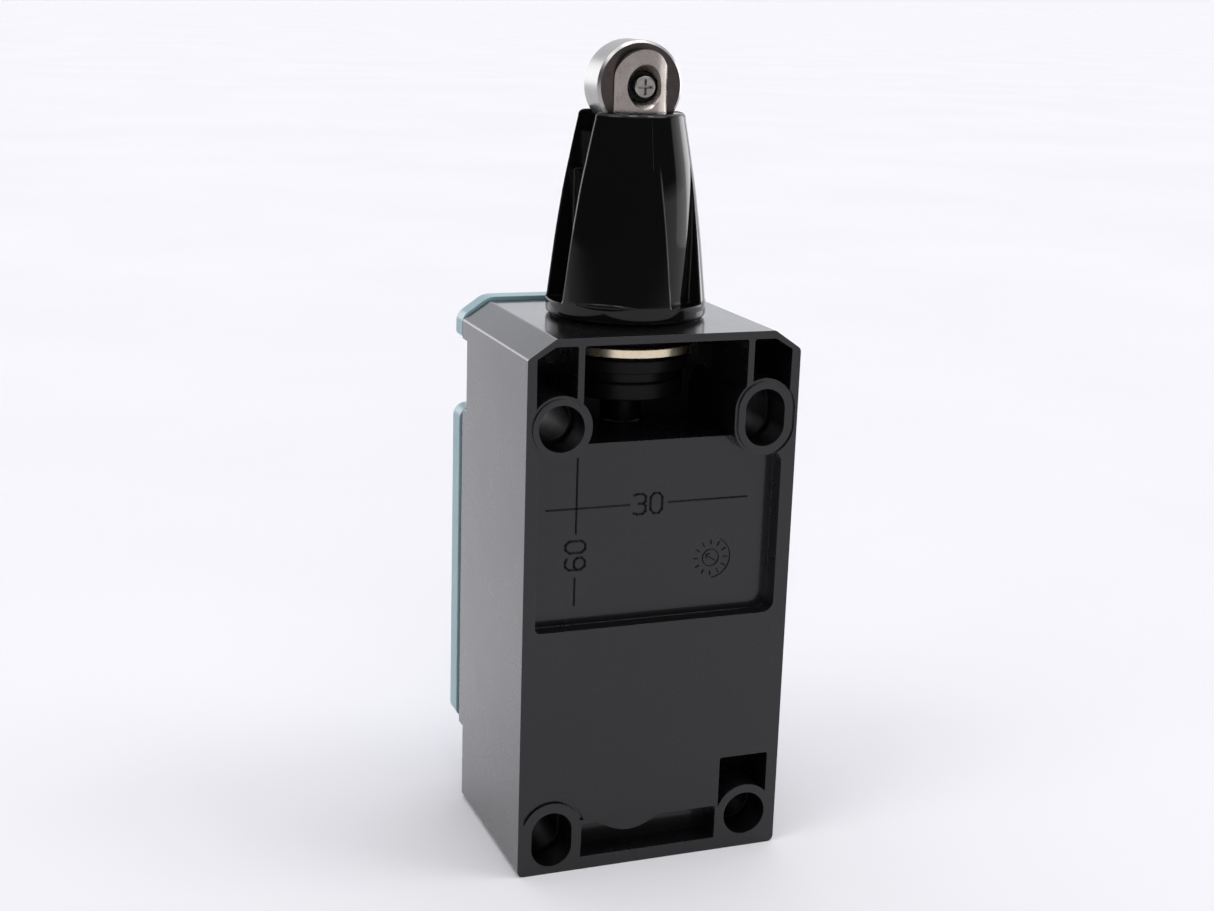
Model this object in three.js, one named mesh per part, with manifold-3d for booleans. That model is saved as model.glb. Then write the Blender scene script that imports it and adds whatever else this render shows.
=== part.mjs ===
// Limit switch with a roller-plunger head: 40 mm wide moulded housing, 30 x 60 mm fixing pattern.
// Millimetres, +Z up. The origin is under the middle of the housing, on the plane of its bottom face.
// The mounting face is at +Y, the cover at -Y, and the plunger axis is vertical at X = 0, Y = AXIS_Y.
import * as THREE from "three";
import { mergeVertices } from "three/addons/utils/BufferGeometryUtils.js";
import Module from "manifold-3d";

const wasm = await Module();
wasm.setup();

// ---- driving dimensions -------------------------------------------------------------------
const BODY_W = 40.0; // housing width, X
const BODY_H = 77.5; // housing height, Z
const BACK_Y = 17.5; // mounting face
const FRONT_Y = -17.5; // outer face of the cover
const BODY_FRONT_Y = -10.6; // housing front at the fixing screws
const RIM_Y = -12.6; // raised rim that carries the gasket
const PLATFORM_Y = -13.0; // front of the head platform
const PLATFORM_Z = 72.05; // underside of the head platform
const TOP_CHAMFER = [4.0, 2.7]; // top corner chamfer, X and Z
const HOLE_X = 15.0; // fixing holes: half of 30 mm
const HOLE_Z = [5.2, 65.2]; // fixing holes: 60 mm apart
const HOLE_R = 3.25;
const SLOT_R = 3.0;
const SLOT_HALF = 1.1; // half of the straight length of the two slotted holes
const AXIS_Y = 1.0; // plunger and head axis
const TOWER_BASE_Z = 77.8;
const TOWER_TOP_Z = 106.1;
const TRAVEL = 5.0; // plunger travel
const ROLLER_Z = 109.6;
const ROLLER_R = 6.25;
const ROLLER_W = 6.0;
const ROD_R = 5.05;
const BUSH_BORE = 6.4; // bore of the head for the guide bush
const ENTRY_R = 10.0; // cable entry, for a 20 mm thread
const ENTRY_Y = 1.5;
const CHAMBER = { x: 17.4, z0: 15.2, z1: 59.2, back: 12.6 }; // wiring and contact chamber
const GAP = 0.3; // clearance kept between pieces that touch on the real switch

// ---- helpers ------------------------------------------------------------------------------
const solidOf = (geometry) => {
  const g = geometry.index ? geometry.clone() : geometry.clone();
  g.deleteAttribute("normal");
  g.deleteAttribute("uv");
  const m = mergeVertices(g, 1e-4);
  const src = m.index.array;
  const keep = [];
  for (let i = 0; i < src.length; i += 3) {
    const [a, b, c] = [src[i], src[i + 1], src[i + 2]];
    if (a !== b && b !== c && a !== c) keep.push(a, b, c);
  }
  const make = (tri) =>
    new wasm.Manifold(
      new wasm.Mesh({
        numProp: 3,
        vertProperties: new Float32Array(m.attributes.position.array),
        triVerts: new Uint32Array(tri),
      }),
    );
  let s = make(keep);
  if (s.volume() < 0) {
    for (let i = 0; i < keep.length; i += 3) [keep[i + 1], keep[i + 2]] = [keep[i + 2], keep[i + 1]];
    s = make(keep);
  }
  return s;
};
const box = (x0, x1, y0, y1, z0, z1) =>
  solidOf(new THREE.BoxGeometry(x1 - x0, y1 - y0, z1 - z0).translate((x0 + x1) / 2, (y0 + y1) / 2, (z0 + z1) / 2));
const cylZ = (r, z0, z1, cx = 0, cy = AXIS_Y, seg = 32) =>
  solidOf(new THREE.CylinderGeometry(r, r, z1 - z0, seg).rotateX(Math.PI / 2).translate(cx, cy, (z0 + z1) / 2));
const cylY = (r, y0, y1, cx, cz, seg = 24, r1 = r) =>
  solidOf(new THREE.CylinderGeometry(r1, r, y1 - y0, seg).translate(0, (y0 + y1) / 2, 0).translate(cx, 0, cz));
// A polygon in X and Z, extruded from y0 to y1.
const prismY = (pts, y0, y1) => {
  const shape = new THREE.Shape(pts.map(([x, z]) => new THREE.Vector2(x, z)));
  return solidOf(
    new THREE.ExtrudeGeometry(shape, { depth: y1 - y0, bevelEnabled: false }).rotateX(Math.PI / 2).translate(0, y1, 0),
  );
};
// A profile of [radius, z] points turned about the vertical line through (cx, cy).
const lathe = (pts, seg = 48, cx = 0, cy = AXIS_Y) =>
  solidOf(
    new THREE.LatheGeometry(pts.map(([r, z]) => new THREE.Vector2(r, z)), seg).rotateX(Math.PI / 2).translate(cx, cy, 0),
  );
const ringPts = (ri, ro, z0, z1) => [[ri, z0], [ro, z0], [ro, z1], [ri, z1], [ri, z0]];
const stadium = (r, half, cx, cz, n = 12) => {
  const pts = [];
  for (let i = 0; i <= n; i++) pts.push([cx + r * Math.cos((Math.PI * i) / n), cz + half + r * Math.sin((Math.PI * i) / n)]);
  for (let i = 0; i <= n; i++)
    pts.push([cx - r * Math.cos((Math.PI * i) / n), cz - half - r * Math.sin((Math.PI * i) / n)]);
  return pts;
};
const turned = (solid, deg) => {
  // about the plunger axis
  const m = new THREE.Matrix4()
    .makeTranslation(0, AXIS_Y, 0)
    .multiply(new THREE.Matrix4().makeRotationZ((deg * Math.PI) / 180))
    .multiply(new THREE.Matrix4().makeTranslation(0, -AXIS_Y, 0));
  return solid.transform(m.elements);
};
const union = (...s) => s.reduce((a, b) => a.add(b));
const cut = (a, ...s) => s.reduce((m, b) => m.subtract(b), a);
const coil = (meanR, wireR, z0, z1, turns, cx, cy, perTurn = 12, sides = 6) => {
  const pts = [];
  const n = Math.round(turns * perTurn);
  for (let i = 0; i <= n; i++) {
    const a = (2 * Math.PI * i) / perTurn;
    pts.push(new THREE.Vector3(cx + meanR * Math.cos(a), cy + meanR * Math.sin(a), z0 + wireR + ((z1 - z0 - 2 * wireR) * i) / n));
  }
  const circle = [];
  for (let i = 0; i < sides; i++)
    circle.push(new THREE.Vector2(wireR * Math.cos((2 * Math.PI * i) / sides), wireR * Math.sin((2 * Math.PI * i) / sides)));
  return solidOf(
    new THREE.ExtrudeGeometry(new THREE.Shape(circle), {
      steps: n,
      bevelEnabled: false,
      extrudePath: new THREE.CatmullRomCurve3(pts),
    }),
  );
};

const material = (color, roughness, metalness) => new THREE.MeshStandardMaterial({ color, roughness, metalness });
const BLACK_PLASTIC = [0x141416, 0.42, 0.0];
const GLOSS_BLACK = [0x0b0c0e, 0.22, 0.0];
const TEAL = [0x2f8f92, 0.38, 0.0];
const RUBBER = [0x17181a, 0.8, 0.0];
const STEEL = [0xb9bcc0, 0.28, 1.0];
const ROLLER_STEEL = [0xa9acb0, 0.32, 1.0];
const GOLD_STEEL = [0xc9a55a, 0.3, 1.0];
const BRASS = [0xc7a24e, 0.3, 1.0];
const SPRING = [0x9a9da2, 0.25, 1.0];
const CREAM = [0xe6e2d6, 0.5, 0.0];
const GREY_PLASTIC = [0x6d7278, 0.5, 0.0];
const COPPER = [0xb57a4a, 0.32, 1.0];

const group = new THREE.Group();
const put = (name, solid, look) => {
  const m = solid.getMesh();
  const pos = new Float32Array(m.numVert * 3);
  for (let i = 0; i < m.numVert; i++) for (let k = 0; k < 3; k++) pos[3 * i + k] = m.vertProperties[i * m.numProp + k];
  const g = new THREE.BufferGeometry();
  g.setAttribute("position", new THREE.BufferAttribute(pos, 3));
  g.setIndex(new THREE.BufferAttribute(new Uint32Array(m.triVerts), 1));
  g.computeVertexNormals();
  const mesh = new THREE.Mesh(g, material(...look));
  mesh.name = name;
  group.add(mesh);
};

// ---- housing --------------------------------------------------------------------------------
const HW = BODY_W / 2;
const [CHX, CHZ] = TOP_CHAMFER;
const outline = (h) => [
  [-HW + 0.9, 0], [HW - 0.9, 0], [HW, 0.9], [HW, h - CHZ], [HW - CHX, h], [-HW + CHX, h], [-HW, h - CHZ], [-HW, 0.9],
];
const housing = (() => {
  // outer shell, the raised rim round the chamber and the platform under the head
  let s = prismY(outline(BODY_H), BODY_FRONT_Y, BACK_Y);
  s = s.add(box(-HW, HW, RIM_Y, BODY_FRONT_Y + 0.5, 11.8, 61.4));
  s = s.add(
    prismY(outline(BODY_H), PLATFORM_Y, BODY_FRONT_Y + 0.5).intersect(box(-HW - 1, HW + 1, -20, 0, PLATFORM_Z, BODY_H + 1)),
  );
  // lower lug of the locking lever
  s = s.add(box(-8.3, -5.3, -13.0, BODY_FRONT_Y + 0.5, 65.4, 67.4));
  // chamber, open to the front
  s = s.subtract(box(-CHAMBER.x, CHAMBER.x, -20, CHAMBER.back, CHAMBER.z0, CHAMBER.z1));
  // boss for the cover screw, standing up from the chamber floor
  s = s.add(box(-3.9, 3.9, RIM_Y, -4.6, 13.2, 21.3));
  s = s.subtract(cylY(2.9, -13, -5.2, 0, 17.2, 24));
  // cable entry
  s = s.subtract(cylZ(ENTRY_R, -1, CHAMBER.z0 + 0.1, 0, ENTRY_Y, 40));
  // bore for the head: ring seat, spigot and the hole for the plunger stem
  s = s.subtract(cylZ(10.9, 72.7, BODY_H + 1, 0, AXIS_Y, 40));
  s = s.subtract(cylZ(9.6, 66.0, 73.0, 0, AXIS_Y, 40));
  s = s.subtract(cylZ(3.2, 58.0, 66.5, 0, AXIS_Y, 24));
  // window for the tongue of the locking lever, and the hole for its pin
  s = s.subtract(box(-2.4, 3.4, -11.2, -6.0, 68.85, 70.65));
  s = s.subtract(cylZ(1.0, 65.7, 67.6, -6.8, -11.85, 16));
  s = s.subtract(cylZ(1.0, 71.5, 73.6, -6.8, -11.85, 16));
  s = s.subtract(cylZ(1.75, 67.4, 71.75, -6.8, -11.85, 20)); // room for the hub of the lever
  // pockets moulded into the back
  s = s.subtract(box(-17.9, 18.2, BACK_Y - 2.5, 20, 36.4, 62.4)); // recessed panel
  s = s.subtract(box(-12.0, 12.0, 0.5, 20, 62.3, 76.4)); // centre pocket, open to the head's ring and spigot
  const corner = [[12.9, 65.2], [18.6, 65.2], [18.7, 74.8], [16.1, 76.4], [12.9, 76.4]];
  s = s.subtract(prismY(corner, 4.0, 20));
  s = s.subtract(prismY(corner.map(([x, z]) => [-x, z]).reverse(), 4.0, 20));
  s = s.subtract(box(-10.3, 10.6, 13.3, 20, 1.9, 7.0)); // long pocket above the bottom edge
  s = s.subtract(box(-18.3, -10.7, 9.0, 20, 6.0, 14.5)); // square pocket at one side
  // bosses of the fixing holes
  for (const [sx, iz] of [[1, 1], [-1, 0]]) {
    s = s.add(cylY(4.5, iz ? 0.2 : 8.0, BACK_Y, sx * HOLE_X, HOLE_Z[iz], 32));
  }
  for (const [sx, iz] of [[-1, 1], [1, 0]]) {
    const b = prismY(stadium(4.5, SLOT_HALF, sx * HOLE_X, HOLE_Z[iz]), iz ? 0.2 : 8.0, BACK_Y);
    s = s.add(b.intersect(box(-HW, HW, 0, 20, 0, BODY_H)));
  }
  for (const [sx, iz] of [[1, 1], [-1, 0]]) s = s.subtract(cylY(HOLE_R, -20, 20, sx * HOLE_X, HOLE_Z[iz], 32));
  for (const [sx, iz] of [[-1, 1], [1, 0]]) s = s.subtract(prismY(stadium(SLOT_R, SLOT_HALF, sx * HOLE_X, HOLE_Z[iz]), -20, 20));
  return s;
})();
put("housing", housing, BLACK_PLASTIC);
put("cover_screw_insert", lathe(ringPts(1.95, 2.6, -3.4, 3.4), 24, 0, 0)
  .transform(new THREE.Matrix4().makeTranslation(0, -8.9, 17.2).multiply(new THREE.Matrix4().makeRotationX(Math.PI / 2)).elements), BRASS);

// ---- contact block ----------------------------------------------------------------------------
const BLK = { x: 16.9, y0: -1.6, y1: 12.3, z0: 33.5, z1: 58.6 };
const TERM = [
  // name, side, screw height, arm height
  ["nc_left", 1, 53.0, 52.1],
  ["nc_right", -1, 53.0, 52.1],
  ["no_left", 1, 39.2, 40.2],
  ["no_right", -1, 39.2, 40.2],
];
const TX = 13.3;
let base = box(-BLK.x, BLK.x, BLK.y0, BLK.y1, BLK.z0, BLK.z1);
base = base.subtract(box(-9.2, 9.2, -3, 10.2, 35.5, 56.6));
base = base.subtract(box(-3.1, 3.1, -3, 4.1, 56, 59.5));
for (const [, side, sz, az] of TERM) {
  const x0 = side > 0 ? 9.0 : -11.1;
  base = base.subtract(box(x0, x0 + 2.1, -3, 3.4, az - 0.35, az + 1.15));
  base = base.subtract(cylY(2.1, -3, 6.5, side * TX, sz, 20));
}
put("contact_block_base", base, CREAM);
put("contact_block_lid", cut(box(-9.3, 9.3, -3.8, -1.95, 34.2, 57.9), box(-6.0, 6.0, -4.2, -3.2, 44.5, 50.5)), GREY_PLASTIC);
for (const [name, side, sz, az] of TERM) {
  const X = (a, b) => (side > 0 ? [a, b] : [-b, -a]);
  let t = box(...X(9.9, 16.6), -3.0, -2.0, sz - 3.8, sz + 3.8);
  t = t.add(box(...X(9.9, 10.7), -2.2, 3.0, az, az + 0.8));
  t = t.add(box(...X(4.4, 10.3), -0.9, 3.0, az, az + 0.8));
  t = t.subtract(cylY(2.0, -4, 0, side * TX, sz, 20));
  put("terminal_" + name, t, BRASS);
  put("clamp_plate_" + name, cut(box(...X(10.2, 16.4), -4.0, -3.3, sz - 3.2, sz + 3.2), cylY(2.0, -5, 0, side * TX, sz, 20)), STEEL);
  let w = union(cylY(3.0, -6.4, -4.3, side * TX, sz, 24), cylY(1.7, -4.4, 5.9, side * TX, sz, 20));
  w = cut(w, box(side * TX - 0.4, side * TX + 0.4, -7, -5.3, sz - 2.1, sz + 2.1), box(side * TX - 2.1, side * TX + 2.1, -7, -5.3, sz - 0.4, sz + 0.4));
  put("terminal_screw_" + name, w, STEEL);
}
// moving contacts and the tappet that carries them
put("contact_tappet", union(box(-1.4, 1.4, AXIS_Y - 1.4, AXIS_Y + 1.4, 43.3, 58.0), cylZ(2.6, 57.5, 62.0, 0, AXIS_Y, 24)), GREY_PLASTIC);
const bridge = (z) =>
  union(
    cut(box(-8.7, 8.7, AXIS_Y - 2.6, AXIS_Y + 2.6, z, z + 0.8), box(-1.75, 1.75, AXIS_Y - 1.75, AXIS_Y + 1.75, z - 1, z + 2)),
    ...[-1, 1].map((sx) => box(sx * 6.6 - 1.3, sx * 6.6 + 1.3, AXIS_Y - 1.3, AXIS_Y + 1.3, z - 0.12, z + 0.92)),
  );
put("contact_bridge_nc", bridge(50.85), COPPER);
put("contact_bridge_no", bridge(43.7), COPPER);
put("contact_pressure_spring", coil(2.5, 0.25, 44.85, 50.45, 4, 0, AXIS_Y, 10, 6), SPRING);
put("tappet_spring", coil(1.5, 0.25, 35.8, 43.0, 4, 0, AXIS_Y, 10, 6), SPRING);

// ---- head -------------------------------------------------------------------------------------
const CONE = [[11.45, 79.9], [11.3, 80.15], [10.75, 85.0], [10.13, 90.1], [9.45, 94.8], [8.65, 99.25], [7.75, 104.0], [7.34, 105.6], [6.9, TOWER_TOP_Z]];
const tower = (() => {
  let s = lathe([[0, TOWER_BASE_Z], [11.0, TOWER_BASE_Z], [11.45, 78.3], ...CONE, [0, TOWER_TOP_Z]], 48);
  // recesses between the walls: a deep one at +X, open up to the roller slot, and two that fade into the cone
  s = s.subtract(box(7.0, 13, AXIS_Y - 3.4, AXIS_Y + 3.4, 79.9, 98.5));
  const core = lathe([[0, 79.0], [9.2, 79.0], [9.2, 80.0], [8.95, 90.0], [8.6, 100.6], [8.4, 104.0], [0, 104.0]], 48);
  for (const a of [120, 240]) {
    s = s.subtract(turned(cut(box(6, 13, AXIS_Y - 3.4, AXIS_Y + 3.4, 79.9, 103.0), core), a));
  }
  s = s.subtract(cylZ(7.2, 77, 79.5, 0, AXIS_Y, 40)); // seat of the spigot's neck
  s = s.subtract(cylZ(BUSH_BORE, 79, 96.9, 0, AXIS_Y, 40)); // bore for the guide bush and the wiper
  s = s.subtract(cylZ(ROD_R + GAP, 90, 108, 0, AXIS_Y, 40));
  s = s.subtract(box(-6.75, 12, AXIS_Y - 3.4, AXIS_Y + 3.4, 97.8, 108)); // slot that the roller sinks into
  return s;
})();
put("head_tower", tower, GLOSS_BLACK);
put(
  "head_spigot",
  lathe(
    [[2.7, 66.5], [8.45, 66.5], [8.45, 69.0], [7.9, 69.0], [7.9, 70.5], [9.2, 70.5], [9.2, 72.35], [8.45, 72.35], [8.45, 77.3], [6.85, 77.3], [6.85, 77.95], [6.2, 77.95], [6.2, 68.5], [2.7, 68.5], [2.7, 66.5]],
    40,
  ),
  BLACK_PLASTIC,
);
// open snap ring, its gap towards the cover
put("head_retaining_ring", cut(lathe(ringPts(8.8, 10.45, 73.0, 74.3), 48), box(-2.2, 2.2, -14, AXIS_Y - 5, 72, 75.5)), GOLD_STEEL);
put("head_seal_ring", lathe(ringPts(8.8, 10.6, 75.6, 77.45), 40), RUBBER);
put("guide_bush", lathe(ringPts(ROD_R + 0.1, BUSH_BORE - GAP, 84.2, 94.2), 40), BRASS);
put("wiper_seal", lathe([[5.35, 94.5], [6.1, 94.5], [6.1, 96.6], [5.8, 96.6], [5.35, 95.9], [5.35, 94.5]], 40), RUBBER);
put("return_spring", coil(4.1, 0.45, 68.85, 81.25, 6, 0, AXIS_Y, 12, 6), SPRING);

// ---- plunger and roller -------------------------------------------------------------------------
const PIN_R = 1.5;
const fork = (() => {
  const arch = [];
  for (let i = 0; i <= 16; i++) {
    const a = (Math.PI * i) / 16;
    arch.push([3.95 * Math.cos(a), 110.65 + 3.95 * Math.sin(a)]);
  }
  // cheek outline seen along the roller axis: straight sides, arched top, then the full rod below
  const cheek = prismY([[-3.95, 103.0], ...[[3.95, 103.0]], ...arch], AXIS_Y - 6, AXIS_Y + 6);
  let s = cylZ(ROD_R, 81.6, 116, 0, AXIS_Y, 40);
  s = s.intersect(union(cheek, box(-6, 6, AXIS_Y - 6, AXIS_Y + 6, 80, 103.4)));
  s = s.subtract(box(-6, 6, AXIS_Y - 3.15, AXIS_Y + 3.15, 102.85, 117)); // roller slot
  s = s.subtract(cylY(PIN_R + 0.1, AXIS_Y - 7, AXIS_Y + 7, 0, ROLLER_Z, 24)); // pin hole
  s = s.subtract(cut(cylZ(7, 82.9, 84.1, 0, AXIS_Y, 40), cylZ(4.2, 82, 85, 0, AXIS_Y, 40))); // clip groove
  s = s.subtract(cylZ(2.7, 81, 87.9, 0, AXIS_Y, 24)); // socket of the stem
  return s;
})();
put("plunger_fork", fork, STEEL);
put("plunger_stem", cylZ(2.3, 62.3, 87.5, 0, AXIS_Y, 24), GREY_PLASTIC);
put("plunger_clip", cut(lathe(ringPts(4.5, 6.0, 83.15, 83.85), 40), box(-2.0, 2.0, AXIS_Y + 2, AXIS_Y + 9, 82, 85)), SPRING);
put("roller_pin", cylY(PIN_R, AXIS_Y - 4.75, AXIS_Y + 4.75, 0, ROLLER_Z, 24), STEEL);
const roller = lathe(
  [[PIN_R + 0.1, -3], [5.85, -3], [ROLLER_R, -2.6], [ROLLER_R, 2.6], [5.85, 3], [PIN_R + 0.1, 3], [PIN_R + 0.1, -3]],
  48, 0, 0,
).transform(new THREE.Matrix4().makeTranslation(0, AXIS_Y, ROLLER_Z).multiply(new THREE.Matrix4().makeRotationX(Math.PI / 2)).elements);
put("roller", roller, ROLLER_STEEL);

// ---- locking lever of the head --------------------------------------------------------------------
put(
  "head_lock_lever",
  cut(
    union(cylZ(1.4, 67.75, 71.45, -6.8, -11.85, 20), box(-6.8, 4.5, -12.4, -11.0, 67.9, 71.3), box(-1.2, 1.2, -11.2, -7.95, 69.3, 70.2)),
    cylZ(0.95, 67, 72, -6.8, -11.85, 16),
  ),
  TEAL,
);
put("lock_lever_pin", cylZ(0.7, 66.0, 73.3, -6.8, -11.85, 16), STEEL);

// ---- cover ------------------------------------------------------------------------------------------
const cover = (() => {
  const lower = [[-HW, 12.6], [-HW + 0.8, 11.8], [HW - 0.8, 11.8], [HW, 12.6], [HW, 59.6], [HW - 1.8, 61.4], [-HW + 1.8, 61.4], [-HW, 59.6]];
  const top = [[-HW, PLATFORM_Z], [HW, PLATFORM_Z], [HW, 75.2], [HW - CHX, 78.0], [-HW + CHX, 78.0], [-HW, 75.2]];
  let s = prismY(lower, FRONT_Y, -14.2);
  s = s.add(prismY(top, -16.4, PLATFORM_Y - GAP));
  s = s.add(box(-9.9, 9.9, -16.9, -14.25, 60.5, 73.0));
  s = s.add(box(-9.9, 9.9, -16.9, -13.6, 61.75, 73.0));
  s = s.add(box(-9.9, 9.9, -14.5, -10.95, 61.75, 71.7));
  s = s.subtract(box(-17.3, 17.3, -15.7, -12, 14.1, 59.0));
  s = s.subtract(box(-8.7, 8.7, -15.2, -9, 57.0, 71.7));
  s = s.add(cylY(5.0, -16.5, -14.2, 0, 17.2, 32));
  s = s.subtract(cylY(3.8, -19, -15.3, 0, 17.2, 32));
  s = s.subtract(cylY(2.2, -19, -12, 0, 17.2, 24));
  return s;
})();
put("cover", cover, TEAL);
put("cover_gasket", cut(box(-19.7, 19.7, -13.95, -12.85, 12.1, 61.1), box(-17.6, 17.6, -15, -12, 13.9, 59.3)), RUBBER);
const coverScrew = cut(
  union(cylY(3.4, -17.3, -15.6, 0, 17.2, 28), cylY(1.6, -15.8, -5.6, 0, 17.2, 20)),
  box(-2.6, 2.6, -18, -16.5, 16.75, 17.65),
);
put("cover_screw", coverScrew, STEEL);
put(
  "cover_screw_retainer",
  lathe(ringPts(1.85, 3.2, -0.3, 0.3), 24, 0, 0).transform(
    new THREE.Matrix4().makeTranslation(0, -13.75, 17.2).multiply(new THREE.Matrix4().makeRotationX(Math.PI / 2)).elements,
  ),
  GREY_PLASTIC,
);

export default group;
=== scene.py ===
import math
import random

import bmesh
import bpy
from mathutils import Matrix, Vector


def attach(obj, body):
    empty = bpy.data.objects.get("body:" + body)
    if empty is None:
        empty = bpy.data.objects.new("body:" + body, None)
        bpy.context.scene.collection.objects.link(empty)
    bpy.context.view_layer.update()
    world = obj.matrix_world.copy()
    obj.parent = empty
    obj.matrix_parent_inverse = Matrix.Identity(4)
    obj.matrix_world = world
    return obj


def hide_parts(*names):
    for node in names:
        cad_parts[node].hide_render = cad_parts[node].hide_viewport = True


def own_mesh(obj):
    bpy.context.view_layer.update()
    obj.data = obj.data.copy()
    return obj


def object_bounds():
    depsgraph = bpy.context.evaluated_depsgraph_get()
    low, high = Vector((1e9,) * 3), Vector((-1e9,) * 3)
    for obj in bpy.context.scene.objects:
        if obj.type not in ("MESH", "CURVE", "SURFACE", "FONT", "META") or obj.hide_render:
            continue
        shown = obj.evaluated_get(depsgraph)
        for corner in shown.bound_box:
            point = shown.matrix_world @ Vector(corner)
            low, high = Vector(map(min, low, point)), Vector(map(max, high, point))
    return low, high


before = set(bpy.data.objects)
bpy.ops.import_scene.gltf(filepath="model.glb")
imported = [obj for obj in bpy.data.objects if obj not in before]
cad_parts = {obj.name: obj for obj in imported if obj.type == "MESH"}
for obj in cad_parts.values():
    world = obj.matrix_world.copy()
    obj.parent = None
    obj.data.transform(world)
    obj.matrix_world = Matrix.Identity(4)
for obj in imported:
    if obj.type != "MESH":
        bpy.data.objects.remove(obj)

random.seed(7)
CAD_BOX = [list(map(float, c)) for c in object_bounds()]

# ------------------------------------------------------------------ dimensions (mm, row frame)
AY = 1.0            # plunger and head axis
BACK = 17.5         # mounting face
FRONT = -17.5       # cover's outer face
BF = -10.6          # housing front at the fixing screws
RIM = -12.6         # rim that carries the gasket
PLAT = -13.0        # front of the head platform
H = 77.5
RZ = 109.6          # roller centre
MM = 0.001

# ------------------------------------------------------------------ mesh helpers (built in mm)
COL = bpy.context.scene.collection


def raw(name, verts, faces):
    me = bpy.data.meshes.new(name)
    me.from_pydata([tuple(v) for v in verts], [], faces)
    me.validate()
    bm = bmesh.new()
    bm.from_mesh(me)
    bmesh.ops.remove_doubles(bm, verts=bm.verts, dist=1e-5)
    bmesh.ops.recalc_face_normals(bm, faces=bm.faces)
    bm.to_mesh(me)
    bm.free()
    ob = bpy.data.objects.new(name, me)
    COL.objects.link(ob)
    return ob


def prism(pts, a0, a1, axis="y", name="prism"):
    """A polygon extruded along an axis: (x, z) for y, (x, y) for z, (y, z) for x."""
    def place(p, a):
        if axis == "y":
            return (p[0], a, p[1])
        if axis == "z":
            return (p[0], p[1], a)
        return (a, p[0], p[1])
    n = len(pts)
    v = [place(p, a0) for p in pts] + [place(p, a1) for p in pts]
    f = [list(range(n)), list(range(2 * n - 1, n - 1, -1))]
    f += [[i, (i + 1) % n, n + (i + 1) % n, n + i] for i in range(n)]
    return raw(name, v, f)


def rounded(pts, radii, n=6):
    """A polygon with its corners rounded; radii is one number or one for each corner."""
    if not hasattr(radii, "__len__"):
        radii = [radii] * len(pts)
    out = []
    m = len(pts)
    for i in range(m):
        p, a, b = Vector(pts[i]), Vector(pts[i - 1]), Vector(pts[(i + 1) % m])
        r = radii[i]
        if r <= 0:
            out.append(tuple(p))
            continue
        u, w = (a - p).normalized(), (b - p).normalized()
        ang = math.acos(max(-1, min(1, u.dot(w))))
        d = r / math.tan(ang / 2)
        d = min(d, 0.48 * (a - p).length, 0.48 * (b - p).length)
        r = d * math.tan(ang / 2)
        c = p + (u + w).normalized() * (r / math.sin(ang / 2))
        s, e = p + u * d, p + w * d
        a0 = math.atan2(s[1] - c[1], s[0] - c[0])
        a1 = math.atan2(e[1] - c[1], e[0] - c[0])
        da = (a1 - a0 + math.pi) % (2 * math.pi) - math.pi
        for k in range(n + 1):
            t = a0 + da * k / n
            out.append((c[0] + r * math.cos(t), c[1] + r * math.sin(t)))
    return out


def rect(x0, x1, z0, z1, r=0.0, n=5):
    return rounded([(x0, z0), (x1, z0), (x1, z1), (x0, z1)], r, n)


def boxm(x0, x1, y0, y1, z0, z1):
    return prism([(x0, z0), (x1, z0), (x1, z1), (x0, z1)], y0, y1, "y")


def circle(r, cx=0.0, cz=0.0, n=64, half=0.0):
    """A circle, or a slot that is 2*half longer along the second axis."""
    pts = []
    for i in range(n):
        a = 2 * math.pi * (i + 0.5) / n
        s = math.sin(a)
        pts.append((cx + r * math.cos(a), cz + r * s + (half if s > 0 else -half)))
    return pts


def lathe(profile, n=96, c=(0.0, AY), axis="z", closed=True, name="lathe"):
    """A profile of (radius, height) turned about an axis through c."""
    v, f = [], []
    m = len(profile)
    for i in range(n):
        a = 2 * math.pi * i / n
        for r, h in profile:
            x, y = r * math.cos(a), r * math.sin(a)
            if axis == "z":
                v.append((c[0] + x, c[1] + y, h))
            elif axis == "y":
                v.append((c[0] + x, h, c[1] + y))
            else:
                v.append((h, c[0] + x, c[1] + y))
    for i in range(n):
        j = (i + 1) % n
        for k in range(m if closed else m - 1):
            l = (k + 1) % m
            f.append([i * m + k, j * m + k, j * m + l, i * m + l])
    me = bpy.data.meshes.new(name)
    me.from_pydata(v, [], f)
    bm = bmesh.new()
    bm.from_mesh(me)
    bmesh.ops.remove_doubles(bm, verts=bm.verts, dist=1e-5)
    bmesh.ops.dissolve_degenerate(bm, edges=bm.edges, dist=1e-5)
    bmesh.ops.recalc_face_normals(bm, faces=bm.faces)
    bm.to_mesh(me)
    bm.free()
    ob = bpy.data.objects.new(name, me)
    COL.objects.link(ob)
    return ob


def fillet_profile(pts, radii, n=5):
    return rounded(pts, radii, n)


def apply_mods(ob):
    dg = bpy.context.evaluated_depsgraph_get()
    dg.update()
    me = bpy.data.meshes.new_from_object(ob.evaluated_get(dg), preserve_all_data_layers=True, depsgraph=dg)
    old = ob.data
    ob.modifiers.clear()
    ob.data = me
    if old.users == 0:
        bpy.data.meshes.remove(old)
    return ob


def boolean(ob, op, *cutters, solver="EXACT"):
    for c in cutters:
        m = ob.modifiers.new("b", "BOOLEAN")
        m.operation = op
        m.object = c
        m.solver = solver
        apply_mods(ob)
        me = c.data
        bpy.data.objects.remove(c)
        if me.users == 0:
            bpy.data.meshes.remove(me)
    return ob


def cut(ob, *cutters, **k):
    return boolean(ob, "DIFFERENCE", *cutters, **k)


def join(ob, *others, **k):
    return boolean(ob, "UNION", *others, **k)


def meet(ob, *others, **k):
    return boolean(ob, "INTERSECT", *others, **k)


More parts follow.
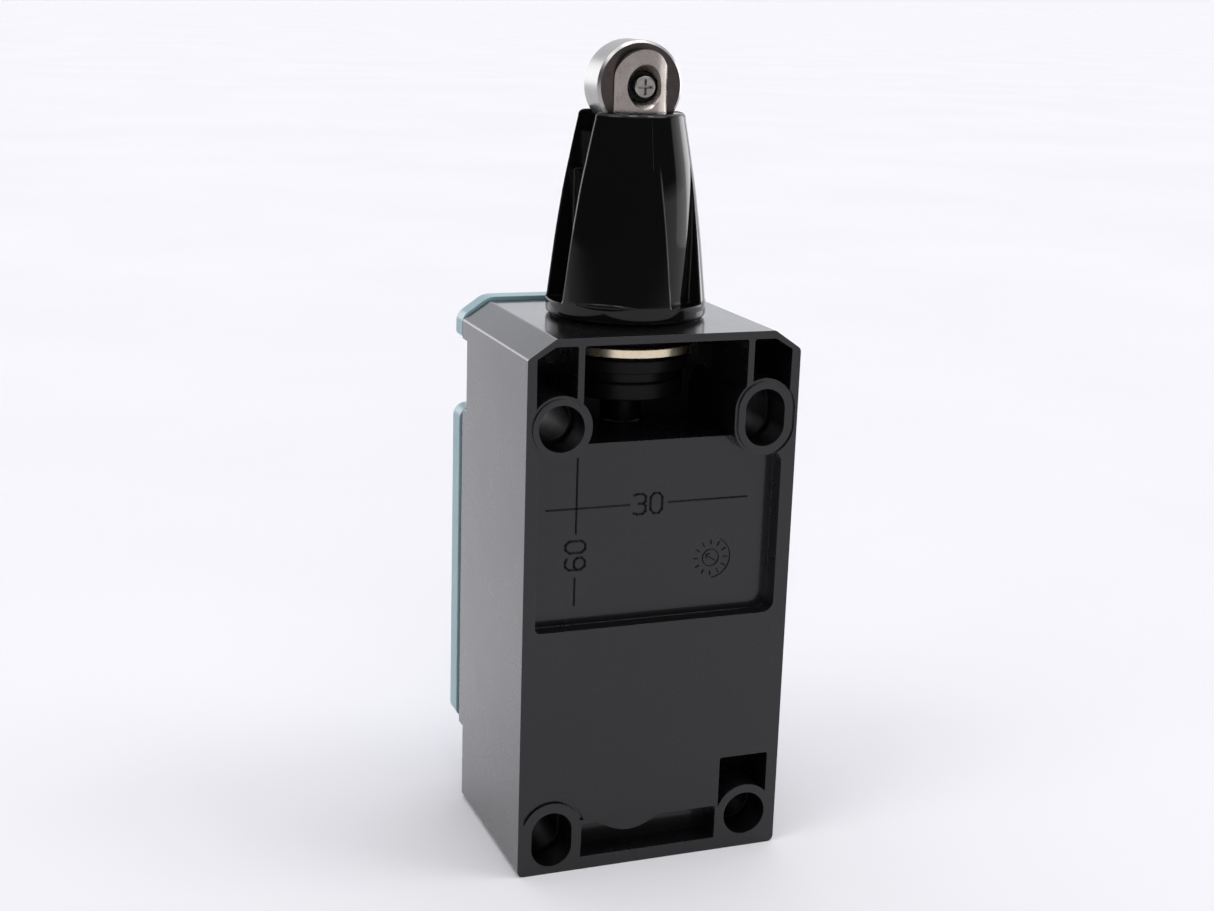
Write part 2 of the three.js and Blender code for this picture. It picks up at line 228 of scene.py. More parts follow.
def turn(ob, deg, axis="Z", c=(0, AY, 0)):
    ob.data.transform(Matrix.Translation(c) @ Matrix.Rotation(math.radians(deg), 4, axis) @ Matrix.Translation([-x for x in c]))
    return ob


def move(ob, x=0, y=0, z=0):
    ob.data.transform(Matrix.Translation((x, y, z)))
    return ob


def clean(ob, dist=2e-4, planar=0.6):
    bm = bmesh.new()
    bm.from_mesh(ob.data)
    bmesh.ops.remove_doubles(bm, verts=bm.verts, dist=dist)
    bmesh.ops.dissolve_degenerate(bm, edges=bm.edges, dist=dist)
    if planar:
        bmesh.ops.dissolve_limit(bm, angle_limit=math.radians(planar), verts=bm.verts, edges=bm.edges)
    bm.to_mesh(ob.data)
    bm.free()
    return ob


def bevel(ob, width=0.25, seg=3, angle=32, clamp=True, profile=0.5):
    m = ob.modifiers.new("bevel", "BEVEL")
    m.width = width
    m.segments = seg
    m.limit_method = "ANGLE"
    m.angle_limit = math.radians(angle)
    m.use_clamp_overlap = clamp
    m.profile = profile
    m.miter_outer = "MITER_ARC"
    m.harden_normals = False
    apply_mods(ob)
    return ob


def finish_piece(ob, name, body, mats, nodes=(), smooth=38, weighted=True):
    bm = bmesh.new()
    bm.from_mesh(ob.data)
    bmesh.ops.remove_doubles(bm, verts=bm.verts, dist=1e-4)
    bmesh.ops.dissolve_degenerate(bm, edges=bm.edges, dist=1e-4)
    bm.to_mesh(ob.data)
    bm.free()
    for p in ob.data.polygons:
        p.use_smooth = True
    ob.data.set_sharp_from_angle(angle=math.radians(smooth))
    if weighted:
        w = ob.modifiers.new("w", "WEIGHTED_NORMAL")
        w.keep_sharp = True
        w.weight = 60
        apply_mods(ob)
    ob.data.transform(Matrix.Scale(MM, 4))
    ob.name = name
    ob.data.name = name
    ob.data.materials.clear()
    for m in mats if isinstance(mats, (list, tuple)) else [mats]:
        ob.data.materials.append(m)
    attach(ob, body)
    if nodes:
        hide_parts(*nodes)
    return ob


# ------------------------------------------------------------------ materials
def new_mat(name):
    m = bpy.data.materials.new(name)
    m.use_nodes = True
    nt = m.node_tree
    nt.nodes.clear()
    out = nt.nodes.new("ShaderNodeOutputMaterial")
    b = nt.nodes.new("ShaderNodeBsdfPrincipled")
    nt.links.new(b.outputs[0], out.inputs[0])
    return m, nt, b


def coords(nt):
    t = nt.nodes.new("ShaderNodeTexCoord")
    return t.outputs["Object"]


def noise(nt, vec, scale, detail=4.0, rough=0.55, stretch=None):
    n = nt.nodes.new("ShaderNodeTexNoise")
    n.inputs["Scale"].default_value = scale
    n.inputs["Detail"].default_value = detail
    n.inputs["Roughness"].default_value = rough
    if stretch:
        mp = nt.nodes.new("ShaderNodeMapping")
        mp.inputs["Scale"].default_value = stretch
        nt.links.new(vec, mp.inputs["Vector"])
        vec = mp.outputs[0]
    nt.links.new(vec, n.inputs["Vector"])
    return n.outputs["Fac"]


def ramp(nt, fac, a, b, lo=0.0, hi=1.0):
    """Maps fac from lo..hi to a..b as a plain number."""
    r = nt.nodes.new("ShaderNodeMapRange")
    r.inputs["From Min"].default_value = lo
    r.inputs["From Max"].default_value = hi
    r.inputs["To Min"].default_value = a
    r.inputs["To Max"].default_value = b
    nt.links.new(fac, r.inputs["Value"])
    return r.outputs[0]


def mixc(nt, fac, a, b):
    m = nt.nodes.new("ShaderNodeMix")
    m.data_type = "RGBA"
    m.inputs[6].default_value = (*a, 1)
    m.inputs[7].default_value = (*b, 1)
    nt.links.new(fac, m.inputs[0])
    return m.outputs[2]


def bump(nt, b, height, dist, strength=1.0, prev=None):
    bp = nt.nodes.new("ShaderNodeBump")
    bp.inputs["Strength"].default_value = strength
    bp.inputs["Distance"].default_value = dist
    nt.links.new(height, bp.inputs["Height"])
    if prev is not None:
        nt.links.new(prev, bp.inputs["Normal"])
    nt.links.new(bp.outputs[0], b.inputs["Normal"])
    return bp.outputs[0]


def plastic(name, dark, light, r0, r1, coat=0.0, coat_rough=0.1, ior=1.5, grain=1400, grain_depth=1.2e-6, wave=7e-6, scratch=0.12, edge=0.25):
    m, nt, b = new_mat(name)
    v = coords(nt)
    cloud = noise(nt, v, 45, 5)
    nt.links.new(mixc(nt, ramp(nt, cloud, 0, 1, 0.3, 0.7), dark, light), b.inputs["Base Color"])
    smear = noise(nt, v, 120, 5, 0.55)
    rr = nt.nodes.new("ShaderNodeMath")
    rr.operation = "ADD"
    nt.links.new(ramp(nt, smear, r0, r1, 0.32, 0.7), rr.inputs[0])
    # hair scratches: thin ridges of a stretched noise
    if scratch:
        s = noise(nt, v, 260, 2, 0.5, (1, 1, 0.05))
        near = nt.nodes.new("ShaderNodeMath")
        near.operation = "COMPARE"
        near.inputs[1].default_value = 0.5
        near.inputs[2].default_value = 0.0035
        nt.links.new(s, near.inputs[0])
        k = nt.nodes.new("ShaderNodeMath")
        k.operation = "MULTIPLY"
        k.inputs[1].default_value = 0.10 * scratch
        nt.links.new(near.outputs[0], k.inputs[0])
        nt.links.new(k.outputs[0], rr.inputs[1])
    else:
        rr.inputs[1].default_value = 0
    nt.links.new(rr.outputs[0], b.inputs["Roughness"])
    b.inputs["IOR"].default_value = ior
    b.inputs["Coat Weight"].default_value = coat
    b.inputs["Coat Roughness"].default_value = coat_rough
    b.inputs["Coat IOR"].default_value = ior
    round_edge = nt.nodes.new("ShaderNodeBevel")
    round_edge.samples = 6
    round_edge.inputs["Radius"].default_value = edge * MM
    p = bump(nt, b, noise(nt, v, 70, 2), wave, 0.5, round_edge.outputs[0])
    bump(nt, b, noise(nt, v, grain, 3, 0.6), grain_depth, 0.6, p)
    return m


def metal(name, dark, light, r0, r1, stretch=(1, 1, 12), scale=420, depth=2.5e-6, aniso=0.0):
    m, nt, b = new_mat(name)
    v = coords(nt)
    lines = noise(nt, v, scale, 5, 0.65, stretch)
    cloud = noise(nt, v, 160, 5)
    mixf = nt.nodes.new("ShaderNodeMath")
    mixf.operation = "MULTIPLY_ADD"
    mixf.inputs[1].default_value = 0.5
    nt.links.new(lines, mixf.inputs[0])
    half = nt.nodes.new("ShaderNodeMath")
    half.operation = "MULTIPLY"
    half.inputs[1].default_value = 0.5
    nt.links.new(cloud, half.inputs[0])
    nt.links.new(half.outputs[0], mixf.inputs[2])
    nt.links.new(mixc(nt, ramp(nt, mixf.outputs[0], 0, 1, 0.35, 0.65), dark, light), b.inputs["Base Color"])
    nt.links.new(ramp(nt, mixf.outputs[0], r0, r1, 0.35, 0.65), b.inputs["Roughness"])
    b.inputs["Metallic"].default_value = 1.0
    bump(nt, b, lines, depth, 0.7)
    return m


BLACK = plastic("black_moulded_plastic", (0.0042, 0.0041, 0.0047), (0.0056, 0.0054, 0.0062), 0.26, 0.30, coat=1.0, coat_rough=0.085, ior=1.325, grain_depth=3e-7, wave=1.5e-6, scratch=0.08, edge=0.17)
# darker, duller copy of the black plastic: painted shade on the hole bores, the centre pocket, the spigot, the plunger
# stem and the pin rings; also the matte panel marks
SHADE_MATTE_BLACK = plastic("matte_black_plastic_painted_shade", (0.0022, 0.0021, 0.0023), (0.0030, 0.0029, 0.0031), 0.36, 0.46, ior=1.25, grain_depth=3e-7, wave=1e-6, scratch=0)
GLOSS = plastic("black_gloss_plastic", (0.0026, 0.0024, 0.0024), (0.0036, 0.0033, 0.0033), 0.05, 0.09, ior=1.36, grain_depth=1e-7, wave=2.5e-6, scratch=0.05, edge=0.42)
TEAL = plastic("teal_plastic", (0.185, 0.315, 0.350), (0.215, 0.360, 0.400), 0.28, 0.36, coat=0.25, coat_rough=0.14)
CREAM = plastic("cream_thermoset", (0.60, 0.57, 0.48), (0.68, 0.65, 0.56), 0.38, 0.5)
GREY = plastic("grey_plastic", (0.13, 0.135, 0.145), (0.17, 0.175, 0.185), 0.35, 0.48)
RUBBER = plastic("black_rubber", (0.010, 0.010, 0.011), (0.017, 0.017, 0.018), 0.55, 0.72, grain_depth=6e-6, scratch=0)
STAINLESS = metal("stainless_steel", (0.25, 0.215, 0.195), (0.47, 0.43, 0.40), 0.20, 0.36, (1, 1, 0.8), 620, 2.0e-5)
PIN_STEEL = metal("pin_steel", (0.22, 0.20, 0.19), (0.46, 0.43, 0.41), 0.22, 0.4, (1, 1, 1), 900, 6e-6)
ROLLER_STEEL = metal("roller_ground_steel", (0.33, 0.322, 0.315), (0.41, 0.40, 0.39), 0.28, 0.34, (1, 1, 1), 500, 5e-7)
# darker copy of the roller steel for the roller's side faces: painted shade
ROLLER_SIDE_SHADE = metal("roller_side_steel_painted_shade", (0.062, 0.052, 0.048), (0.105, 0.09, 0.084), 0.28, 0.42, (1, 1, 1), 500, 2e-6)
ZINC = metal("zinc_plated_steel", (0.46, 0.47, 0.49), (0.62, 0.62, 0.63), 0.22, 0.4, (1, 1, 1), 300)
SPRINGS = metal("spring_wire", (0.30, 0.30, 0.31), (0.46, 0.46, 0.47), 0.2, 0.32, (1, 1, 1), 600)
GOLD = metal("gold_passivated_steel", (0.70, 0.58, 0.40), (0.95, 0.84, 0.66), 0.22, 0.36, (1, 1, 0.08), 420)
BRASS = metal("turned_brass", (0.58, 0.41, 0.16), (0.74, 0.55, 0.24), 0.18, 0.32, (1, 1, 8), 300)
COPPER = metal("contact_copper", (0.50, 0.26, 0.14), (0.66, 0.38, 0.22), 0.2, 0.34, (1, 1, 1), 300)
SILVER = metal("silver_tips", (0.66, 0.66, 0.65), (0.80, 0.80, 0.78), 0.22, 0.34, (1, 1, 1), 400)

# ------------------------------------------------------------------ housing
HOLES = [(15.0, 65.2, 3.25, 0.0), (-15.0, 5.2, 3.25, 0.0), (-15.0, 65.2, 3.0, 1.1), (15.0, 5.2, 3.0, 1.1)]


def body_outline(h=H, grow=0.0):
    w = 20.0 + grow
    return rounded(
        [(-w, 0), (w, 0), (w, h - 2.7), (w - 4.0, h), (-w + 4.0, h), (-w, h - 2.7)],
        [0.9, 0.9, 0.5, 0.7, 0.7, 0.9], 5)


def make_housing():
    s = prism(body_outline(), BF, BACK)
    s = join(s, boxm(-20, 20, RIM, BF + 2, 11.8, 61.4))
    up = prism(body_outline(), PLAT, BF + 2)
    slab = prism([(BF + 3, 71.3), (BF + 3, 80), (PLAT - 1, 80), (PLAT - 1, 72.05), (BF, 72.05 - 0.0)], -21, 21, "x")
    up = meet(up, slab)
    s = join(s, up)
    s = join(s, prism(rect(-8.3, -5.3, 65.4, 67.4, 0.4), -13.0, BF + 1))
    # chamber
    s = cut(s, prism(rect(-17.4, 17.4, 15.2, 59.2, 1.4), -20, 12.6))
    s = join(s, boxm(-3.9, 3.9, RIM, -4.6, 13.2, 21.3))
    s = cut(s, prism(circle(2.9, 0, 17.2, 40), -14, -5.2))
    # cable entry and head bores
    s = cut(s, prism(circle(10.0, 0, 1.5, 96), -1, 15.9, "z"))
    s = cut(s, prism(circle(10.9, 0, AY, 96), 72.7, 80, "z"))
    s = cut(s, prism(circle(9.6, 0, AY, 96), 66.0, 73.2, "z"))
    s = cut(s, prism(circle(3.2, 0, AY, 48), 58.5, 67, "z"))
    s = cut(s, boxm(-2.4, 3.4, -11.4, -6.0, 68.85, 70.65))
    s = cut(s, prism(circle(1.0, -6.8, -11.85, 24), 65.6, 67.7, "z"))
    s = cut(s, prism(circle(1.0, -6.8, -11.85, 24), 71.3, 73.6, "z"))
    s = cut(s, prism(circle(1.75, -6.8, -11.85, 32), 67.4, 71.75, "z"))
    # back: recessed panel, pockets
    panel = rounded([(-17.9, 36.4), (18.2, 36.4), (18.2, 62.6), (-12.3, 62.6), (-12.3, 60.6), (-17.9, 60.6)], [1.7, 0.8, 0.3, 0.1, 0.1, 2.2], 6)
    s = cut(s, prism(panel, BACK - 2.5, 21))
    s = cut(s, prism(rect(-12.0, 12.0, 62.3, 76.4, 0.35, 3), 0.5, 21))
    corner = [(12.9, 65.2), (18.6, 65.2), (18.7, 74.8), (16.1, 76.4), (12.9, 76.4)]
    s = cut(s, prism(rounded(corner, 0.35, 3), 4.0, 21))
    s = cut(s, prism(rounded([(-x, z) for x, z in corner][::-1], 0.35, 3), 4.0, 21))
    # long pocket with the bulge of the entry hanging into it
    lp = [(-10.3, 1.9), (10.6, 1.9), (10.6, 7.0), (8.1, 7.0)]
    for i in range(11):
        t = i / 10
        lp.append((8.1 - 9.5 * t, 7.0 - 1.75 * math.sin(math.pi * t)))
    lp += [(-1.4, 7.0), (-10.3, 7.0)]
    s = cut(s, prism(lp, 13.3, 21))
    s = cut(s, prism(rect(-18.3, -10.7, 6.0, 14.5, 0.3, 3), 9.0, 21))
    # bosses
    for x, z, r, h in HOLES:
        b = prism(circle(4.5 if h == 0 else 4.45, x, z, 72, h), 0.3 if z > 40 else 8.2, BACK)
        if z < 20:
            b = meet(b, boxm(-19.99, 19.99, 0, 30, 0.01, 30))
        s = join(s, b)
    # shallow groove round each boss where it stands in the flat face
    for x, z, r, h in HOLES:
        ring = prism(circle(4.95, x, z, 72, h), BACK - 0.42, 21)
        ring = cut(ring, prism(circle(4.5 if h == 0 else 4.45, x, z, 72, h), 0, 22))
        if z < 20:  # only above the long pocket and away from the edge of the housing
            ring = meet(ring, boxm(-18.0, 19.2, 0, 30, 7.6, 30))
        else:  # stepped rim
            bpy.data.objects.remove(ring)
            ring = prism(circle(4.56, x, z, 72, h), BACK - 0.3, 21)
            ring = cut(ring, prism(circle(4.08 if h == 0 else 4.03, x, z, 72, h), 0, 22))
        s = cut(s, ring)
    for x, z, r, h in HOLES:
        s = cut(s, prism(circle(r, x, z, 72, h), 12.0, 21))
        s = cut(s, prism(circle(r - 0.28, x, z, 72, h), -21, 12.5))
    return s


hous = make_housing()
clean(hous, 3e-4, 0.4)
bevel(hous, 0.24, 3, 34)
# step at the lower end of the platform is slanted in the real moulding
HOUSING = finish_piece(hous, "housing_shell", "housing", [BLACK, SHADE_MATTE_BLACK], ["housing"], 36)
# faces in the fixing-hole bores and the centre pocket get the darker material: painted shade
for p in HOUSING.data.polygons:
    c = p.center * 1000.0
    in_painted_shade = False
    for hx, hz, hr, hh in HOLES:
        dz = max(0.0, abs(c.z - hz) - hh)
        if math.hypot(c.x - hx, dz) < hr + 0.02 and c.y < 16.9:
            in_painted_shade = True
    if abs(c.x) < 11.9 and 62.4 < c.z < 76.3 and c.y < 16.5:
        in_painted_shade = True
    if in_painted_shade:
        p.material_index = 1


# ------------------------------------------------------------------ engraved marks on the back panel
def stroke(pts, w, y, depth=0.12, closed=False, zlift=0.0):
    """A thin bar along a polyline in X and Z, given as one four-cornered outline for each segment. y and depth are not
    used.
    """
    obs = []
    n = len(pts)
    for i in range(n if closed else n - 1):
        a, b = Vector(pts[i]), Vector(pts[(i + 1) % n])
        d = (b - a)
        if d.length < 1e-6:
            continue
        d.normalize()
        q = Vector((-d[1], d[0])) * (w / 2)
        a2, b2 = a - d * w * 0.35, b + d * w * 0.35
        obs.append([tuple(a2 - q), tuple(b2 - q), tuple(b2 + q), tuple(a2 + q)])
    return obs


def digit(ch, cx, cz, h, w, rot=False, y=0.0):
    """Stroke digits in the plane of the panel, seen from +Y, so X runs to the left."""
    P = {
        "3": [[(0.0, 0.95), (0.25, 1.0), (0.75, 1.0), (1.0, 0.88), (1.0, 0.62), (0.78, 0.52), (0.4, 0.52)],
              [(0.78, 0.52), (1.0, 0.42), (1.0, 0.14), (0.75, 0.0), (0.25, 0.0), (0.0, 0.06)]],
        "0": [[(0.28, 0.0), (0.72, 0.0), (1.0, 0.2), (1.0, 0.8), (0.72, 1.0), (0.28, 1.0), (0.0, 0.8), (0.0, 0.2), (0.28, 0.0)]],
        "6": [[(0.95, 0.92), (0.72, 1.0), (0.28, 1.0), (0.0, 0.8), (0.0, 0.2), (0.28, 0.0), (0.72, 0.0), (1.0, 0.16), (1.0, 0.4), (0.72, 0.55), (0.28, 0.55), (0.0, 0.42)]],
    }[ch]
    out = []
    for line in P:
        pts = []
        for u, v in line:
            px, pz = (u - 0.5) * w, (v - 0.5) * h
            if rot:  # read from the side: the top of the figure points to the right of the picture's left edge
                px, pz = -pz, px
                pts.append((cx - px, cz + pz))
            else:
                pts.append((cx - px, cz + pz))
        out.append(pts)
    return out


def marks():
    bars = []
    y0, y1 = BACK - 2.56, BACK - 2.34
    W = 0.30
    for line in ([(16.1, 53.2), (3.9, 53.2)], [(-2.0, 53.2), (-14.0, 53.2)], [(11.7, 60.3), (11.7, 49.6)], [(11.7, 43.2), (11.7, 39.2)]):
        bars += stroke(line, W, y0)
    for ln in digit("3", 2.35, 53.2, 2.9, 1.75) + digit("0", -0.15, 53.2, 2.9, 1.75):
        bars += stroke(ln, 0.36, y0)
    for ln in digit("6", 11.7, 45.25, 2.9, 1.7, True) + digit("0", 11.7, 47.7, 2.9, 1.7, True):
        bars += stroke(ln, 0.36, y0)
    cx, cz = -8.8, 44.5
    def polar(r, deg):
        return (cx + r * math.cos(math.radians(deg)), cz + r * math.sin(math.radians(deg)))
    for k in range(12):
        bars += stroke([polar(2.0, 30 * k), polar(2.6, 30 * k)], 0.2, y0)
    bars += stroke([polar(1.25, 24 * k) for k in range(15)], 0.16, y0, closed=True)
    bars += stroke([polar(3.0, 120 + 12 * k) for k in range(13)], 0.16, y0)
    bars += stroke([(cx - 0.75, cz - 0.5), (cx + 0.7, cz + 0.45)], 0.18, y0)
    bars += stroke([(cx + 0.15, cz + 0.62), (cx + 0.7, cz + 0.45), (cx + 0.62, cz - 0.1)], 0.18, y0)
    v, f = [], []
    for q in bars:
        n = len(v)
        q = list(q)
        cx = sum(p[0] for p in q) / 4
        cz = sum(p[1] for p in q) / 4
        ins = [(cx + (p[0] - cx) * 1.0, cz + (p[1] - cz) * 1.0) for p in q]
        # top is drawn in so that each side leans
        d = 0.06
        e0 = Vector(q[1]) - Vector(q[0])
        e1 = Vector(q[3]) - Vector(q[0])
        u0, u1 = e0.normalized() * d, e1.normalized() * d
        top = [Vector(q[0]) + u0 + u1, Vector(q[1]) - u0 + u1, Vector(q[2]) - u0 - u1, Vector(q[3]) + u0 - u1]
        v += [(p[0], y0, p[1]) for p in ins] + [(p[0], y1, p[1]) for p in top]
        f += [[n, n + 1, n + 2, n + 3], [n + 7, n + 6, n + 5, n + 4]]
        f += [[n + i, n + 4 + i, n + 4 + (i + 1) % 4, n + (i + 1) % 4] for i in range(4)]
    return raw("marks", v, f)


MARKS = finish_piece(marks(), "panel_dimension_marks", "housing", SHADE_MATTE_BLACK, (), 30, False)


# ------------------------------------------------------------------ head
TOWER_PROFILE = [(11.45, 79.9), (11.3, 80.2), (11.02, 82.6), (10.75, 85.0), (10.45, 87.6), (10.13, 90.1), (9.80, 92.4), (9.45, 94.8), (9.06, 97.1), (8.65, 99.25), (8.22, 101.6), (7.80, 103.8), (7.52, 105.2)]


def cone_r(z):
    t = TOWER_PROFILE + [(7.3, 105.9)]
    for (r0, z0), (r1, z1) in zip(t, t[1:]):
        if z <= z1:
            return r0 + (r1 - r0) * (z - z0) / (z1 - z0)
    return t[-1][0]


def make_tower():
    prof = [(0, 77.8), (10.9, 77.8)]
    prof += [(11.45 - 0.55 * (1 - math.sin(a)), 78.35 - 0.55 * math.cos(a)) for a in [math.radians(k) for k in (15, 30, 45, 60, 75, 90)]]
    prof += [(11.45, 79.0)] + TOWER_PROFILE
    prof += [(7.52 - 0.75 * (1 - math.cos(a)), 105.35 + 0.75 * math.sin(a)) for a in [math.radians(k) for k in (15, 35, 55, 75, 90)]]
    prof += [(0, 106.1)]
    s = lathe(prof, 144, name="tower")
    s = cut(s, boxm(7.0, 14, AY - 3.4, AY + 3.4, 79.9, 98.5))  # deep recess at +X
    for a in (120, 240):
        c = boxm(6.5, 13.5, AY - 3.4, AY + 3.4, 79.9, 103.0)
        prof2 = [(0, 79.0), (9.18, 79.0)]
        for k in range(23):  # the recess fades into the cone at its upper end
            z = 79.9 + k * (99.6 - 79.9) / 22
            prof2.append((cone_r(z) - 2.08 * max(0.0, (99.6 - z) / 19.7) ** 1.3 + (0.02 if k == 22 else 0.0), z))
        prof2 += [(cone_r(101.0) + 0.2, 101.0), (cone_r(104.0) + 0.3, 104.0), (0, 104.0)]
        core = lathe(prof2, 144)
        c = cut(c, core)
        s = cut(s, turn(c, a))
    s = cut(s, prism(circle(7.2, 0, AY, 80), 77, 79.5, "z"))
    s = cut(s, prism(circle(6.4, 0, AY, 80), 79, 96.9, "z"))
    s = cut(s, prism(circle(5.35, 0, AY, 80), 90, 108, "z"))
    s = cut(s, boxm(-6.75, 13, AY - 3.4, AY + 3.4, 97.8, 108))
    return s


def foot_step():
    """The thin lens-shaped step at the foot of the +Y wall."""
    v, f = [], []
    n = 44
    for i in range(n + 1):
        t = i / n
        a = math.radians(29 + 48 * t)
        h = math.sin(math.pi * t) ** 0.7
        z0, z1, r = 80.1 - 0.42 * h, 80.1 + 0.48 * h, 11.34 + 0.17 * h
        for rr, z in ((10.9, z0), (r - 0.05, z0), (r, z0 + 0.1 * h), (r - 0.03, z1 - 0.12 * h), (r - 0.12, z1), (10.9, z1)):
            v.append((rr * math.cos(a), AY + rr * math.sin(a), z))
    for i in range(n):
        for k in range(6):
            l = (k + 1) % 6
            f.append([6 * i + k, 6 * i + l, 6 * i + 6 + l, 6 * i + 6 + k])
    f += [list(range(6)), [6 * n + k for k in range(5, -1, -1)]]
    return raw("foot", v, f)


def parting_line():
    """The fine witness line of the mould down the top of the +Y wall."""
    v, f = [], []
    rows = [(98.7, 0.0), (99.6, 0.05), (101.6, 0.07), (103.8, 0.07), (105.1, 0.05), (105.75, 0.0)]
    def rad(z):
        t = TOWER_PROFILE + [(7.42, 105.7), (7.0, 106.05)]
        for (r0, z0), (r1, z1) in zip(t, t[1:]):
            if z0 <= z <= z1:
                return r0 + (r1 - r0) * (z - z0) / (z1 - z0)
        return t[-1][0]
    for z, h in rows:
        y = AY + rad(z)
        v += [(-0.11, y - 0.12, z), (-0.02, y + h, z), (0.05, y + h, z), (0.09, y - 0.12, z)]
    n = len(rows)
    for i in range(n - 1):
        for k in range(4):
            l = (k + 1) % 4
            f.append([4 * i + k, 4 * i + l, 4 * i + 4 + l, 4 * i + 4 + k])
    f += [[0, 1, 2, 3], [4 * n - 1, 4 * n - 2, 4 * n - 3, 4 * n - 4]]
    return raw("parting", v, f)


tow = make_tower()
clean(tow, 3e-4, 0.2)
bevel(tow, 0.36, 5, 27)
TOWER = finish_piece(tow, "head_tower_shell", "head", GLOSS, ["head_tower"], 34)
finish_piece(foot_step(), "head_foot_step", "head", GLOSS, (), 40, False)
finish_piece(parting_line(), "head_parting_line", "head", GLOSS, (), 30, False)


def make_spigot():
    p = [(2.7, 66.5), (8.45, 66.5), (8.45, 69.0), (7.9, 69.0), (7.9, 70.5), (9.2, 70.5), (9.2, 72.35), (8.45, 72.35),
         (8.45, 77.3), (6.85, 77.3), (6.85, 77.95), (6.2, 77.95), (6.2, 68.5), (2.7, 68.5)]
    rad = [0.1, 0.35, 0.25, 0.05, 0.05, 0.22, 0.22, 0.05, 0.2, 0.05, 0.1, 0.1, 0.1, 0.1]
    return lathe(rounded(p, rad, 4), 128)


# the spigot in the centre pocket gets the darker material: painted shade
finish_piece(make_spigot(), "head_spigot_moulding", "head", SHADE_MATTE_BLACK, ["head_spigot"], 34)


def make_ring():
    s = lathe(rounded([(8.8, 73.0), (10.45, 73.0), (10.45, 74.3), (8.8, 74.3)], 0.16, 4), 160)
    return cut(s, boxm(-2.2, 2.2, -14, AY - 5, 72, 75.5))


finish_piece(make_ring(), "head_retaining_ring_formed", "head", GOLD, ["head_retaining_ring"], 34)
finish_piece(lathe(rounded([(8.8, 75.6), (10.6, 75.6), (10.6, 77.45), (8.8, 77.45)], 0.6, 6), 96), "head_seal_ring_moulded", "head", RUBBER, ["head_seal_ring"])
finish_piece(lathe(rounded([(5.15, 84.2), (6.1, 84.2), (6.1, 94.2), (5.15, 94.2)], 0.2, 4), 80), "guide_bush_turned", "head", BRASS, ["guide_bush"])
finish_piece(lathe(rounded([(5.35, 94.5), (6.1, 94.5), (6.1, 96.6), (5.8, 96.6), (5.35, 95.9)], 0.1, 3), 80), "wiper_seal_lip", "head", RUBBER, ["wiper_seal"])


# ------------------------------------------------------------------ springs
def coil_mesh(mean, wire, z0, z1, turns, name, per=28, sides=12, flat=0.75):
    """A compression spring with closed, flattened end turns."""
    n = int(turns * per)
    pts = []
    for i in range(n + 1):
        t = i / n
        a = 2 * math.pi * turns * t
        e = flat / turns
        # the pitch is small in the two end turns
        def lead(x):
            x1, x2 = e, 1 - e
            lo = x / x1 * (2 * wire) if x < x1 else 2 * wire
            mid = (min(max(x, x1), x2) - x1) / (x2 - x1) * ((z1 - z0) - 6 * wire)
            hi = 0 if x < x2 else (x - x2) / (1 - x2) * 2 * wire
            return lo + mid + hi
        pts.append(Vector((mean * math.cos(a), AY + mean * math.sin(a), z0 + wire + lead(t))))
    v, f = [], []
    for i, p in enumerate(pts):
        q = pts[min(i + 1, n)] - pts[max(i - 1, 0)]
        q.normalize()
        radial = Vector((p.x, p.y - AY, 0)).normalized()
        up = q.cross(radial).normalized()
        radial = up.cross(q).normalized()
        for k in range(sides):
            b = 2 * math.pi * k / sides
            v.append(p + radial * wire * math.cos(b) + up * wire * math.sin(b))
    for i in range(n):
        for k in range(sides):
            l = (k + 1) % sides
            f.append([i * sides + k, i * sides + l, (i + 1) * sides + l, (i + 1) * sides + k])
    f.append(list(range(sides))[::-1])
    f.append([n * sides + k for k in range(sides)])
    return raw(name, v, f)


# ------------------------------------------------------------------ plunger, pin and roller
def make_fork():
    s = lathe(rounded([(0, 81.6), (5.05, 81.6), (5.05, 83.0), (4.2, 83.0), (4.2, 84.1), (5.05, 84.1), (5.05, 116), (0, 116)],
                      [0, 0.4, 0.08, 0.08, 0.08, 0.08, 0, 0], 3), 128, name="fork")
    arch = [(3.95 * math.cos(math.pi * i / 40), 110.65 + 3.95 * math.sin(math.pi * i / 40)) for i in range(41)]
    cheek = prism([(-3.95, 103.0), (3.95, 103.0)] + arch, AY - 7, AY + 7)
    cheek = join(cheek, boxm(-7, 7, AY - 7, AY + 7, 80, 103.4))
    s = meet(s, cheek)
    s = cut(s, boxm(-7, 7, AY - 3.15, AY + 3.15, 102.85, 118))
    s = cut(s, prism(circle(2.12, 0, RZ, 64), AY - 8, AY + 8))
    for sg in (1, -1):  # countersink of each cheek
        y_in, y_out = AY + sg * 3.9, AY + sg * 5.6
        c = lathe([(0, y_in), (2.1, y_in), (3.5, y_out), (0, y_out)], 64, (0, RZ), "y")
        s = cut(s, c)
    s = cut(s, prism(circle(2.7, 0, AY, 48), 81, 87.9, "z"))
    return s


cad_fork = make_fork()
clean(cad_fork, 3e-4, 0.2)
bevel(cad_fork, 0.55, 6, 34)
finish_piece(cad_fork, "plunger_fork_machined", "plunger", STAINLESS, ["plunger_fork"], 36)


def make_pin():
    s = lathe(rounded([(0, AY - 4.72), (1.5, AY - 4.72), (1.5, AY + 4.72), (0, AY + 4.72)], [0, 0.2, 0.2, 0], 4), 64, (0, RZ), "y")
    for sg in (1, -1):
        y0, y1 = sorted((AY + sg * 4.05, AY + sg * 6))
        for w, l in ((0.17, 1.05), (1.05, 0.17)):
            s = cut(s, boxm(-w, w, y0, y1, RZ - l, RZ + l))
    return s


pin = make_pin()
clean(pin, 2e-4, 0.2)
bevel(pin, 0.07, 2, 40)
finish_piece(pin, "roller_pin_staked", "plunger", PIN_STEEL, ["roller_pin"], 36)


